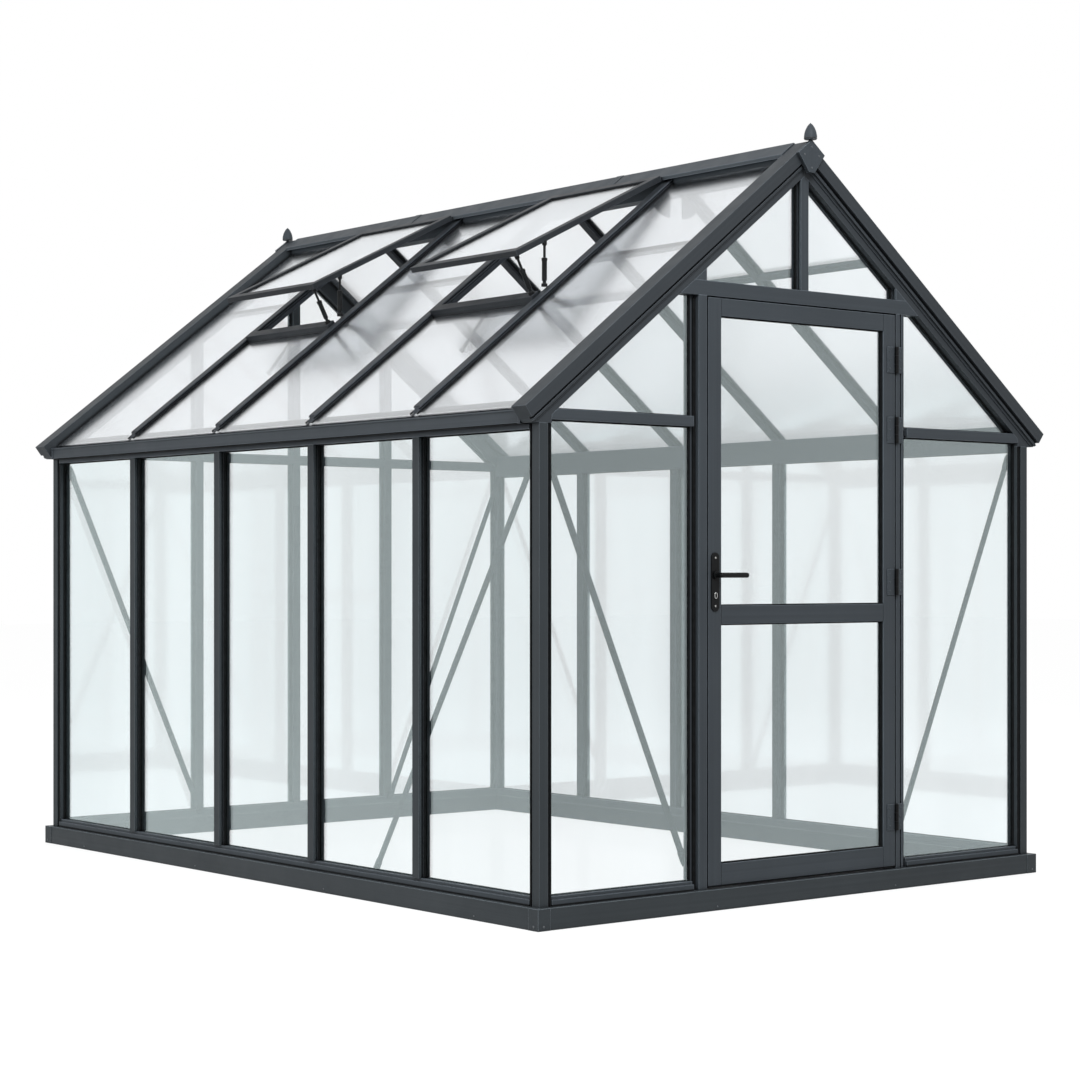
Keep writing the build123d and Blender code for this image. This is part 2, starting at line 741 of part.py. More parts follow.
def lever():
    total = door_thick + 2 * lever_standoff
    centre = Pos(handle_x, -half_l + door_thick / 2, lever_height) * Rot(90, 0, 0)
    shape = centre * Cylinder(spindle_radius, total)
    for outward in (True, False):
        away = 1 if outward else -1
        face_out = 0 if outward else -door_thick
        rose_start = face_out + away * (handle_plate_thick + lever_gap)
        rose = front * Pos(handle_x, lever_height, rose_start + away * rose_thick / 2)
        shape += rose * Cylinder(rose_radius, rose_thick)
        stand = front * Pos(handle_x, lever_height, face_out + away * lever_standoff)
        shape += stand * Rot(0, 90, 0) * Pos(0, 0, lever_reach / 2) * Cylinder(lever_radius, lever_reach)
        shape += stand * Sphere(lever_radius)
        neck = front * Pos(handle_x, lever_height, (rose_start + face_out + away * lever_standoff) / 2)
        shape += neck * Cylinder(lever_radius, abs(face_out + away * lever_standoff - rose_start))
    return shape


# The whole building
for name, rail in base_rails().items():
    save(name, rail)
save("base_corner_plates", *corner_plates())

save("sill_left", sill(left, -roof_inner, roof_inner))
save("sill_right", sill(right, -roof_inner, roof_inner))
save("sill_back", sill(back, -span, span))
save("sill_front", sill(front, -span, -door_post_out), sill(front, door_post_out, span))
save("corner_posts", *[corner_post(x, y) for x in (-1, 1) for y in (-1, 1)])

save("wall_bars_left", *[glazing_bar(left, -y, (sill_top, eave_low)) for y in bar_places])
save("wall_bars_right", *[glazing_bar(right, y, (sill_top, eave_low)) for y in bar_places])
save("gable_bars_back", *[gable_upright(back, x, sill_top) for x in (-back_bar_place, 0, back_bar_place)])

gable_bar_middle = gable_bar_low + gable_bar_high / 2
gable_bar_top = gable_bar_low + gable_bar_high
half_bar = bar_face / 2


def eave_bar(face, start, end):
    bar = glazing_bar(face, gable_bar_middle, (start, end), upright=False, half=gable_bar_high / 2)
    return below_barge(face, bar)


back_inner = back_bar_place - half_bar
back_outer = back_bar_place + half_bar
save("eave_bars_front", eave_bar(front, -span, -door_post_out), eave_bar(front, door_post_out, span))
save("eave_bars_back", eave_bar(back, -span, -back_outer), eave_bar(back, -back_inner, -half_bar),
     eave_bar(back, half_bar, back_inner), eave_bar(back, back_outer, span))

save("eave_beam_left", eave_beam(left, -1))
save("eave_beam_right", eave_beam(right, 1))
save("gutter_left", gutter(left))
save("gutter_right", gutter(right))
save("eave_strips", *eave_strips(roof_left), *eave_strips(roof_right))

save("door_post_left", door_post(-1))
save("door_post_right", door_post(1))
save("door_header", door_header())
header_top = header_low + header_high
stub_middle = (door_post_in + door_post_out) / 2
stub_half = (door_post_out - door_post_in) / 2
save("gable_bars_front", gable_upright(front, 0, header_top),
     gable_upright(front, -stub_middle, header_top, stub_half),
     gable_upright(front, stub_middle, header_top, stub_half))

save("barge_front_left", barge(front, -1))
save("barge_front_right", barge(front, 1))
save("barge_back_left", barge(back, 1))
save("barge_back_right", barge(back, -1))

save("ridge_beam", ridge_beam())
save("ridge_cap", ridge_cap())
save("ridge_ends", ridge_end(front), ridge_end(back))
save("finials", finial(front), finial(back))
save("ridge_gussets", *[ridge_gusset(side, -bay_edges[bay + 1]) for side in (-1, 1) for bay in vent_bays])

save("roof_bars_left", *[roof_bar(roof_left, -y) for y in bar_places])
save("roof_bars_right", *[roof_bar(roof_right, y) for y in bar_places])
closed_bays = [bay for bay in range(bay_count) if bay not in vent_bays]
save("purlins", *purlins(roof_left, closed_bays), *purlins(roof_right, range(bay_count)))
save("vent_sills", *[vent_sill(bay) for bay in vent_bays])
for number, bay in enumerate(vent_bays, start=1):
    save("vent_frame_" + str(number), vent_frame(bay))
save("vent_glass", *[vent_pane(bay) for bay in vent_bays])
save("vent_stays", *[piece for bay in vent_bays for piece in vent_stay(bay)])


# Glass
def wall_panes(face):
    panes = []
    for start, end in zip(bay_edges[:-1], bay_edges[1:]):
        first = max(start + half_bar, -roof_inner) - glass_grip
        last = min(end - half_bar, roof_inner) + glass_grip
        panes.append(plank(face, (first, last), (sill_top - glass_grip, eave_low + glass_grip),
                           (slot_far, slot_near)))
    return panes


def gable_wall_pane(face, start, end):
    return plank(face, (start - glass_grip, end + glass_grip),
                 (sill_top - glass_grip, gable_bar_low + glass_grip), (slot_far, slot_near))


save("glass_left", *wall_panes(left))
save("glass_right", *wall_panes(right))
stub_inner = door_post_in
upper_low = header_top - glass_grip
save("glass_front", gable_wall_pane(front, -span, -door_post_out), gable_wall_pane(front, door_post_out, span),
     eave_corner_pane(front, -1, door_post_out), eave_corner_pane(front, 1, door_post_out),
     gable_pane(front, -stub_inner, -half_bar, upper_low, glass_grip, glass_grip),
     gable_pane(front, half_bar, stub_inner, upper_low, glass_grip, glass_grip))
back_low = gable_bar_top - glass_grip
save("glass_back", gable_wall_pane(back, -span, -back_outer), gable_wall_pane(back, -back_inner, -half_bar),
     gable_wall_pane(back, half_bar, back_inner), gable_wall_pane(back, back_outer, span),
     eave_corner_pane(back, -1, back_outer), eave_corner_pane(back, 1, back_outer),
     gable_pane(back, -back_inner, -half_bar, back_low, glass_grip, glass_grip),
     gable_pane(back, half_bar, back_inner, back_low, glass_grip, glass_grip))
save("glass_roof_left", *roof_panes(roof_left, [bay_count - 1 - bay for bay in vent_bays]))
save("glass_roof_right", *roof_panes(roof_right, []))

# Braces
brace_top = eave_low - brace_top_drop
corner_x = span + glass_grip
corner_y = roof_inner + glass_grip
door_foot = (door_post_out - brace_door_inset, sill_top + brace_door_rise)
back_foot = (back_bar_place, base_height + sill_height / 2)
side_foot = (roof_inner - brace_side_reach * bay_pitch, base_height + sill_height / 2)
front_braces = [brace(front, (side * corner_x, brace_top), (side * door_foot[0], door_foot[1])) for side in (-1, 1)]
back_braces = [brace(back, (side * corner_x, brace_top), (side * back_foot[0], back_foot[1])) for side in (-1, 1)]
side_brace = brace(left, (corner_y, brace_top), side_foot) - front_braces[0]
save("braces", *front_braces, *back_braces, side_brace)

# Door
stiles, rails, panes = door_parts()
save("door_stiles", *stiles)
save("door_rails", *rails)
save("door_glass", *panes)
save("door_hinge_leaves", *[hinge_door_leaf(height) for height in hinge_heights])
save("post_hinge_leaves", *[hinge_post_leaf(height) for height in hinge_heights])
save("door_handle_plates", *handle_plates())
save("door_lever", lever())
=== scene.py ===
import json
import math

import bmesh
import bpy
from mathutils import Matrix, Vector


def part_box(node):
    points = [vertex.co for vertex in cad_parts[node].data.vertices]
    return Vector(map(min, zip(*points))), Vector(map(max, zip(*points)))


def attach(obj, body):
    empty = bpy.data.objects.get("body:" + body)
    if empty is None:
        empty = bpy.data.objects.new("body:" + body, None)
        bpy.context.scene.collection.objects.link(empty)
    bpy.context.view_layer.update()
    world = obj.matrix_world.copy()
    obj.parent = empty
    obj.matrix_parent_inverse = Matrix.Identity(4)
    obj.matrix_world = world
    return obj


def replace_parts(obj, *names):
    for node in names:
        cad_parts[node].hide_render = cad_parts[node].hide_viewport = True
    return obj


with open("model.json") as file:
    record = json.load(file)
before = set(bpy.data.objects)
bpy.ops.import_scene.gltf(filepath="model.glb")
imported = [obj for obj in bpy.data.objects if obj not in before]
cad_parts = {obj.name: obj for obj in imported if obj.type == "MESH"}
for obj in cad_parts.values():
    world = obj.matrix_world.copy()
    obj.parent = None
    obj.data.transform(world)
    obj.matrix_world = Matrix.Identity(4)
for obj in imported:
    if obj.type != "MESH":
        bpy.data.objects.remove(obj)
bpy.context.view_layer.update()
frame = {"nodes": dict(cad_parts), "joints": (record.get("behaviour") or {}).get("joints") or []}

# Camera
# It stands off the near corner at chest height, level, and sees the door gable and the long wall
# with the open roof vents. The shift puts the horizon a little below the middle of the picture.
image_px = 1080
focal_px = 2426
horizon_px = 573.3
camera_place = (-5.801, -7.293, 1.088)
camera_heading = math.radians(-39.1)
camera_data = bpy.data.cameras.new("camera")
camera_data.sensor_width = 36.0
camera_data.lens = camera_data.sensor_width * focal_px / image_px
camera_data.shift_y = (horizon_px - image_px / 2) / image_px
camera = bpy.data.objects.new("camera", camera_data)
camera.location = camera_place
camera.rotation_euler = (math.pi / 2, 0, camera_heading)
bpy.context.scene.collection.objects.link(camera)
bpy.context.scene.camera = camera
bpy.context.scene.view_settings.view_transform = "Standard"

# Light
# A white studio: an even white surround that metal and glass mirror at full strength, with less of
# it as light, a large soft lamp high before the gable, and weaker ones on the left and far away.
surround_light = 0.5
key_place = (-3.0, -6.5, 6.0)
key_power = 400.0
side_place = (-7.5, 1.0, 2.2)
side_power = 150.0
fill_place = (7.0, 4.0, 6.0)
fill_power = 120.0
lamp_size = 3.0
lamp_colour = (0.95, 0.975, 1.0)
lamps_aim = Vector((0, 0, 1.0))


def sees_backdrop(tree):
    """A value of 1 for rays that should see the plain white backdrop, and 0 for rays of light."""
    path = tree.nodes.new("ShaderNodeLightPath")
    seen = path.outputs["Is Camera Ray"]
    for name in ("Is Glossy Ray", "Is Transmission Ray"):
        either = tree.nodes.new("ShaderNodeMath")
        either.operation = "MAXIMUM"
        tree.links.new(seen, either.inputs[0])
        tree.links.new(path.outputs[name], either.inputs[1])
        seen = either.outputs[0]
    return seen


world = bpy.data.worlds.new("studio")
world.use_nodes = True
bpy.context.scene.world = world
surround = world.node_tree
strength = surround.nodes.new("ShaderNodeMapRange")
strength.inputs["To Min"].default_value = surround_light
strength.inputs["To Max"].default_value = 1.0
surround.links.new(sees_backdrop(surround), strength.inputs["Value"])
backdrop = surround.nodes["Background"]
backdrop.inputs["Color"].default_value = (1, 1, 1, 1)
surround.links.new(strength.outputs["Result"], backdrop.inputs["Strength"])

lamps = (
    ("key", key_place, key_power),
    ("side", side_place, side_power),
    ("fill", fill_place, fill_power),
)
for name, place, power in lamps:
    lamp = bpy.data.lights.new(name, "AREA")
    lamp.energy = power
    lamp.size = lamp_size
    lamp.color = lamp_colour
    lamp_object = bpy.data.objects.new(name, lamp)
    lamp_object.location = place
    towards = lamps_aim - Vector(place)
    lamp_object.rotation_euler = towards.to_track_quat("-Z", "Y").to_euler()
    bpy.context.scene.collection.objects.link(lamp_object)

# Floor
# A smooth white studio floor with a faint gloss. It shows as the backdrop's white, less the
# greenhouse's own soft shadow and a weak mirror image of what stands on it.
floor_half = 40.0
floor_drop = 0.001
floor_tone = 0.25
floor_lift = 0.878
floor_gloss = 0.06
floor_roughness = 0.09
floor_mesh = bpy.data.meshes.new("floor")
corners = [(x * floor_half, y * floor_half, 0) for x, y in ((-1, -1), (1, -1), (1, 1), (-1, 1))]
floor_mesh.from_pydata(corners, [], [(0, 1, 2, 3)])
floor = bpy.data.objects.new("floor", floor_mesh)
floor.location.z = -floor_drop
bpy.context.scene.collection.objects.link(floor)
floor_white = bpy.data.materials.new("floor_white")
floor_white.use_nodes = True
tree = floor_white.node_tree
tree.nodes.remove(tree.nodes["Principled BSDF"])
matt = tree.nodes.new("ShaderNodeBsdfDiffuse")
matt.inputs["Color"].default_value = (floor_tone, floor_tone, floor_tone, 1)
glow = tree.nodes.new("ShaderNodeEmission")
lift = tree.nodes.new("ShaderNodeMath")
lift.operation = "MULTIPLY"
lift.inputs[1].default_value = floor_lift
tree.links.new(sees_backdrop(tree), lift.inputs[0])
tree.links.new(lift.outputs[0], glow.inputs["Strength"])
both = tree.nodes.new("ShaderNodeAddShader")
tree.links.new(matt.outputs[0], both.inputs[0])
tree.links.new(glow.outputs[0], both.inputs[1])
polish = tree.nodes.new("ShaderNodeBsdfGlossy")
polish.inputs["Roughness"].default_value = floor_roughness
surface = tree.nodes.new("ShaderNodeMixShader")
surface.inputs[0].default_value = floor_gloss
tree.links.new(both.outputs[0], surface.inputs[1])
tree.links.new(polish.outputs[0], surface.inputs[2])
tree.links.new(surface.outputs[0], tree.nodes["Material Output"].inputs["Surface"])
floor.data.materials.append(floor_white)

# Base frame
# Four folded aluminium rails, mitred at the corners and powder coated in anthracite. A thin plate
# wraps each corner and is screwed to both rails, and small screws along the rails close the folds.
upright = Vector((0, 0, 1))
lengthways = Vector((0, 1, 0))
crossways = Vector((1, 0, 0))
base_colour = (0.044, 0.051, 0.056)
# Bevel radius: it rounds the edges' shading and sets how wide the painted edge highlight is.
rounding_and_highlight_radius = 0.0028
recess_reach = 0.016
# Painted shade: how dark recesses are painted, as a share of the coat's colour.
painted_recess_shade = 0.16
sharp_angle = math.radians(35)
screw_radius = 0.0042
screw_high = 0.0018
screw_sunk = 0.0004


def noise(tree, scale, stretch=(1, 1, 1), detail=2.0):
    """Noise in the object's own metres, drawn out along an axis where stretch is under 1."""
    place = tree.nodes.new("ShaderNodeTexCoord")
    mapping = tree.nodes.new("ShaderNodeMapping")
    mapping.inputs["Scale"].default_value = stretch
    tree.links.new(place.outputs["Object"], mapping.inputs["Vector"])
    made = tree.nodes.new("ShaderNodeTexNoise")
    made.inputs["Scale"].default_value = scale
    made.inputs["Detail"].default_value = detail
    tree.links.new(mapping.outputs["Vector"], made.inputs["Vector"])
    return made.outputs["Fac"]


def draw_lines(tree, along, scale, squeeze=0.006):
    """Noise drawn out into fine lines that run along a direction."""
    place = tree.nodes.new("ShaderNodeTexCoord")
    run = tree.nodes.new("ShaderNodeVectorMath")
    run.operation = "DOT_PRODUCT"
    run.inputs[1].default_value = along
    tree.links.new(place.outputs["Object"], run.inputs[0])
    pull = tree.nodes.new("ShaderNodeVectorMath")
    pull.operation = "SCALE"
    pull.inputs[0].default_value = along * (1 - squeeze)
    tree.links.new(run.outputs["Value"], pull.inputs["Scale"])
    left = tree.nodes.new("ShaderNodeVectorMath")
    left.operation = "SUBTRACT"
    tree.links.new(place.outputs["Object"], left.inputs[0])
    tree.links.new(pull.outputs["Vector"], left.inputs[1])
    made = tree.nodes.new("ShaderNodeTexNoise")
    made.inputs["Scale"].default_value = scale
    made.inputs["Detail"].default_value = 1.0
    tree.links.new(left.outputs["Vector"], made.inputs["Vector"])
    return made.outputs["Fac"]


def spread(tree, value, low, high, source=(0.3, 0.7)):
    """The value's source range moved to the range from low to high."""
    made = tree.nodes.new("ShaderNodeMapRange")
    made.inputs["From Min"].default_value = source[0]
    made.inputs["From Max"].default_value = source[1]
    made.inputs["To Min"].default_value = low
    made.inputs["To Max"].default_value = high
    tree.links.new(value, made.inputs["Value"])
    return made.outputs["Result"]


def blend_colours(tree, value, first, second):
    """The first colour at a value of 0 and the second at 1, each a tuple or a node's output."""
    made = tree.nodes.new("ShaderNodeMix")
    made.data_type = "RGBA"
    tree.links.new(value, made.inputs["Factor"])
    colour_inputs = [socket for socket in made.inputs if socket.type == "RGBA"]
    for socket, colour in zip(colour_inputs, (first, second)):
        if isinstance(colour, tuple):
            socket.default_value = (*colour, 1)
        else:
            tree.links.new(colour, socket)
    return next(socket for socket in made.outputs if socket.type == "RGBA")


def shade(colour, amount):
    return tuple(part * amount for part in colour)


def powder_coat(name, colour, along=None, rough=0.5, edge=4.0, gloss=0.14):
    """Satin powder coat: orange peel, slow drift of tone, die lines, painted edge highlight and painted
    recess shade.
    """
    paint = bpy.data.materials.new(name)
    paint.use_nodes = True
    tree = paint.node_tree
    coat = tree.nodes["Principled BSDF"]
    drift = spread(tree, noise(tree, 2.3, detail=3.0), 0.0, 1.0)
    tone = blend_colours(tree, drift, shade(colour, 0.92), shade(colour, 1.1))
    if along is not None:
        lines = spread(tree, draw_lines(tree, along, 110.0), 0.0, 0.30)
        tone = blend_colours(tree, lines, tone, shade(colour, 0.6))
    speck = spread(tree, noise(tree, 900.0, detail=1.0), 0.0, 0.25, (0.35, 0.65))
    tone = blend_colours(tree, speck, tone, shade(colour, 1.5))
    rounded = tree.nodes.new("ShaderNodeBevel")
    rounded.samples = 4
    rounded.inputs["Radius"].default_value = rounding_and_highlight_radius
    flat = tree.nodes.new("ShaderNodeNewGeometry")
    turn = tree.nodes.new("ShaderNodeVectorMath")
    turn.operation = "DOT_PRODUCT"
    tree.links.new(rounded.outputs["Normal"], turn.inputs[0])
    tree.links.new(flat.outputs["Normal"], turn.inputs[1])
    # Painted highlight: where the bevel bends the normal, the colour is lifted to edge times the coat's
    # colour.
    painted_edge_highlight = spread(tree, turn.outputs["Value"], 1.0, 0.0, (0.88, 0.99))
    tone = blend_colours(tree, painted_edge_highlight, tone, shade(colour, edge))
    # Painted shade: recesses found by ambient occlusion are darkened in the base colour.
    recess = tree.nodes.new("ShaderNodeAmbientOcclusion")
    recess.samples = 5
    recess.inputs["Distance"].default_value = recess_reach
    open_air = spread(tree, recess.outputs["AO"], 0.0, 1.0, (0.30, 0.78))
    tone = blend_colours(tree, open_air, shade(colour, painted_recess_shade), tone)
    tree.links.new(tone, coat.inputs["Base Color"])
    tree.links.new(spread(tree, noise(tree, 14.0), rough - 0.05, rough + 0.06), coat.inputs["Roughness"])
    coat.inputs["Specular IOR Level"].default_value = gloss
    peel = tree.nodes.new("ShaderNodeBump")
    peel.inputs["Strength"].default_value = 0.10
    peel.inputs["Distance"].default_value = 0.0004
    tree.links.new(noise(tree, 420.0, detail=1.5), peel.inputs["Height"])
    tree.links.new(rounded.outputs["Normal"], peel.inputs["Normal"])
    tree.links.new(peel.outputs["Normal"], coat.inputs["Normal"])
    return paint


def finish_nodes(paint, *names):
    """Gives CAD pieces their finish."""
    for name in names:
        for place in frame["nodes"][name].material_slots:
            place.material = paint


def add_piece(name, builder, paint, body="building", smooth=False, closed=True):
    """Makes one piece of the visual model from a bmesh and mounts it on a body."""
    mesh = bpy.data.meshes.new(name)
    if closed:
        bmesh.ops.recalc_face_normals(builder, faces=builder.faces)
    builder.to_mesh(mesh)
    builder.free()
    if smooth:
        mesh.shade_smooth()
        mesh.set_sharp_from_angle(angle=sharp_angle)
    mesh.materials.append(paint)
    piece = bpy.data.objects.new(name, mesh)
    bpy.context.scene.collection.objects.link(piece)
    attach(piece, body)
    return piece


def aim(direction, place):
    """A matrix that stands a shape drawn along +Z at a place, pointing in a direction."""
    turn = Vector(direction).normalized().to_track_quat("Z", "Y")
    return Matrix.Translation(Vector(place)) @ turn.to_matrix().to_4x4()


def lathe(builder, profile, direction, place, steps=16):
    """A turned shape: its profile is (height, radius) pairs, from one end to the other."""
    stand = aim(direction, place)
    rings = []
    for height, radius in profile:
        ring = []
        for step in range(steps):
            angle = 2 * math.pi * step / steps
            corner = Vector((radius * math.cos(angle), radius * math.sin(angle), height))
            ring.append(builder.verts.new(stand @ corner))
        rings.append(ring)
    for lower, upper in zip(rings[:-1], rings[1:]):
        for step in range(steps):
            after = (step + 1) % steps
            builder.faces.new((lower[step], lower[after], upper[after], upper[step]))
    builder.faces.new(list(reversed(rings[0])))
    builder.faces.new(rings[-1])


def screw(builder, place, direction, radius=screw_radius):
    """A low domed screw head with a recess in its top."""
    profile = [(-screw_sunk, radius), (0.25 * screw_high, radius), (0.75 * screw_high, 0.8 * radius),
               (screw_high, 0.45 * radius), (0.4 * screw_high, 0.4 * radius)]
    lathe(builder, profile, direction, place, steps=14)


def face_plane(origin, across, out):
    """A face of the building: x runs to the right as it is seen from outside, y up it, z outwards."""
    across = Vector(across).normalized()
    out = Vector(out).normalized()
    plane = Matrix((across, out.cross(across), out)).transposed().to_4x4()
    plane.translation = Vector(origin)
    return plane


half_width = -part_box("wall_bars_left")[0].x
half_length = -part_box("door_stiles")[0].y
walls = {
    "front": face_plane((0, -half_length, 0), crossways, -lengthways),
    "back": face_plane((0, half_length, 0), -crossways, lengthways),
    "left": face_plane((-half_width, 0, 0), -lengthways, -crossways),
    "right": face_plane((half_width, 0, 0), lengthways, crossways),
}
base_across = powder_coat("base_coat_across", base_colour, crossways, edge=6.0)
base_along = powder_coat("base_coat_along", base_colour, lengthways, edge=6.0)
finish_nodes(base_across, "base_front", "base_back", "base_corner_plates")
finish_nodes(base_along, "base_left", "base_right")
plates_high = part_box("base_corner_plates")[1]
base_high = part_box("base_left")[1].z
rail_out = -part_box("base_left")[0].x - half_width
plate_screw_in = 0.022
screw_rise = 0.013
rail_screws = {"front": 2, "back": 2, "left": 4, "right": 4}
rail_screw_gap = 0.84
rail_screw_radius = 0.003
screws = bmesh.new()
for side_x in (-1, 1):
    for side_y in (-1, 1):
        corner = Vector((side_x * plates_high.x, side_y * plates_high.y, screw_rise))
        screw(screws, corner - Vector((side_x * plate_screw_in, 0, 0)), (0, side_y, 0))
        screw(screws, corner - Vector((0, side_y * plate_screw_in, 0)), (side_x, 0, 0))
for wall, count in rail_screws.items():
    plane = walls[wall]
    for index in range(count):
        place = plane @ Vector(((index - (count - 1) / 2) * rail_screw_gap, screw_rise, rail_out))
        screw(screws, place, plane.col[2].xyz, radius=rail_screw_radius)
screw_metal = powder_coat("screw_metal", (0.06, 0.065, 0.07), rough=0.36, gloss=0.35)
add_piece("base_screws", screws, screw_metal)

# Posts, sills and wall bars
# Aluminium extrusions, powder coated like the base, with faint lines from the die along each length.
# Hex bolts hold the bars' feet and heads, and a black strip under the sills is partly the joint's seal and
# partly a painted shadow line.
frame_colour = (0.054, 0.063, 0.072)
bar_colour = (0.040, 0.047, 0.052)
bar_upright = powder_coat("bar_coat_upright", bar_colour, upright)
frame_upright = powder_coat("frame_coat_upright", frame_colour, upright)
frame_along = powder_coat("frame_coat_along", frame_colour, lengthways)
frame_across = powder_coat("frame_coat_across", frame_colour, crossways)
finish_nodes(bar_upright, "corner_posts", "wall_bars_left", "wall_bars_right", "gable_bars_back")
finish_nodes(frame_upright, "gable_bars_front", "door_post_left", "door_post_right")
finish_nodes(frame_along, "sill_left", "sill_right")
finish_nodes(frame_across, "sill_front", "sill_back")
bolt_inset = 0.018
bolt_radius = 0.0065
bolt_high = 0.005
washer_radius = 1.45 * bolt_radius
washer_thick = 0.0012
weld_distance = 1e-5
flat_angle = math.radians(1)


def hex_bolt(builder, place, direction):
    """A bolt head with its washer."""
    lathe(builder, [(0, washer_radius), (washer_thick, washer_radius)], direction, place, steps=18)
    seat = Vector(place) + Vector(direction).normalized() * washer_thick
    head = [(0, bolt_radius), (0.8 * bolt_high, bolt_radius), (bolt_high, 0.86 * bolt_radius)]
    lathe(builder, head, direction, seat, steps=6)


def cad_solids(node):
    """The mesh of a CAD node with its flat faces whole, and those faces grouped by solid."""
    whole = bmesh.new()
    whole.from_mesh(frame["nodes"][node].data)
    bmesh.ops.remove_doubles(whole, verts=whole.verts, dist=weld_distance)
    bmesh.ops.dissolve_limit(whole, angle_limit=flat_angle, verts=whole.verts, edges=whole.edges)
    whole.normal_update()
    groups = []
    seen = set()
    for first in whole.faces:
        if first in seen:
            continue
        seen.add(first)
        group = [first]
        for face in group:
            for edge in face.edges:
                for other in edge.link_faces:
                    if other not in seen:
                        seen.add(other)
                        group.append(other)
        groups.append(group)
    return whole, groups


def local_boxes(node, plane):
    """The box of each solid of a CAD node, in a face's own directions, as (low, high) corners."""
    whole, groups = cad_solids(node)
    to_plane = plane.inverted()
    boxes = []
    for group in groups:
        corners = [to_plane @ corner.co for face in group for corner in face.verts]
        low = Vector([min(corner[axis] for corner in corners) for axis in range(3)])
        high = Vector([max(corner[axis] for corner in corners) for axis in range(3)])
        boxes.append((low, high))
    whole.free()
    return boxes


bolts = bmesh.new()
for wall, node in (("left", "wall_bars_left"), ("right", "wall_bars_right"), ("back", "gable_bars_back")):
    plane = walls[wall]
    inward = -plane.col[2].xyz
    for low, high in local_boxes(node, plane):
        middle = (low.x + high.x) / 2
        heights = [low.y + bolt_inset]
        if wall != "back":
            heights.append(high.y - bolt_inset)
        for height in heights:
            hex_bolt(bolts, plane @ Vector((middle, height, low.z)), inward)
bolt_black = powder_coat("bolt_black", (0.018, 0.019, 0.020), rough=0.4, gloss=0.3)
add_piece("bar_bolts", bolts, bolt_black)


def rubber(name, colour, rough=0.7):
    """Matt black rubber with a slight bloom."""
    made = bpy.data.materials.new(name)
    made.use_nodes = True
    tree = made.node_tree
    skin = tree.nodes["Principled BSDF"]
    bloom = spread(tree, noise(tree, 60.0, detail=3.0), 0.0, 1.0)
    tree.links.new(blend_colours(tree, bloom, colour, shade(colour, 1.9)), skin.inputs["Base Color"])
    tree.links.new(spread(tree, noise(tree, 25.0), rough - 0.08, rough + 0.08), skin.inputs["Roughness"])
    skin.inputs["Specular IOR Level"].default_value = 0.08
    grain = tree.nodes.new("ShaderNodeBump")
    grain.inputs["Strength"].default_value = 0.15
    grain.inputs["Distance"].default_value = 0.0003
    tree.links.new(noise(tree, 700.0), grain.inputs["Height"])
    tree.links.new(grain.outputs["Normal"], skin.inputs["Normal"])
    return made


strip_sides = ((0, 1, 3, 2), (4, 6, 7, 5), (0, 4, 5, 1), (2, 3, 7, 6), (0, 2, 6, 4), (1, 5, 7, 3))


def strip(builder, plane, across, up, out):
    """A straight strip on a face, from its three ranges there."""
    corners = [builder.verts.new(plane @ Vector((x, y, z))) for z in out for y in up for x in across]
    for side in strip_sides:
        builder.faces.new([corners[index] for index in side])


# Black rubber for the real seals, also used for painted shadow under the gutters, in the post grooves and
# at the sill joints.
seal_and_shadow_black = rubber("seal_and_shadow_rubber", (0.007, 0.0075, 0.008))
# Black strip at the foot of each sill: partly the joint's seal, partly a painted shadow line.
foot_strip_high = 0.0055
foot_strip_out = (-0.004, 0.0015)
foot_strips = bmesh.new()
for wall, plane in walls.items():
    for low, high in local_boxes("sill_" + wall, plane):
        up = (low.y, low.y + foot_strip_high)
        strip(foot_strips, plane, (low.x, high.x), up, foot_strip_out)
add_piece("sill_foot_strips", foot_strips, seal_and_shadow_black)

# Post covers
# Black cover strips over the stepped legs of the corner posts and door posts, which press the
# glass in beside them. Each corner post's groove is filled with black on both faces: partly a seal, partly
# painted shade.
post_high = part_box("corner_posts")[1].z
post_face = 0.034
post_groove_wide = 0.010
post_leg_out = 0.050
# Black fill in the corner posts' grooves: partly a seal, partly painted shade of the groove.
groove_shade_fill = (-0.0135, -0.006)
leg_cover = (-0.0045, -0.0030)
wall_halves = {"front": half_width, "back": half_width, "left": half_length, "right": half_length}
covers = bmesh.new()
for wall, half in wall_halves.items():
    for side in (-1, 1):
        edge = side * half
        fill = sorted((edge - side * post_face, edge - side * (post_face + post_groove_wide)))
        cover = sorted((edge - side * (post_face + post_groove_wide), edge - side * post_leg_out))
        strip(covers, walls[wall], fill, (base_high, post_high), groove_shade_fill)
        strip(covers, walls[wall], cover, (base_high, post_high), leg_cover)
header_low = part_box("door_header")[0].z
door_leg = (0.482, 0.4925)
door_leg_cover = (-0.0225, -0.016)
for side in (-1, 1):
    leg = sorted((side * door_leg[0], side * door_leg[1]))
    strip(covers, walls["front"], leg, (base_high, header_low), door_leg_cover)
add_piece("post_covers", covers, seal_and_shadow_black)

# Glass
# Sheets of clear 4 mm toughened float. Each face mirrors the white studio, the more so at a slant,
# which pales whatever stands behind it, and iron in the glass gives it a faint green-blue cast.
glass_cast = (0.944, 0.944, 0.949)
glass_clear = (0.990, 0.989, 0.993)
wall_mirror = (0.83, 0.955, 0.96)
roof_mirror = (0.93, 0.955, 0.975)
glass_faces_in_line = 24


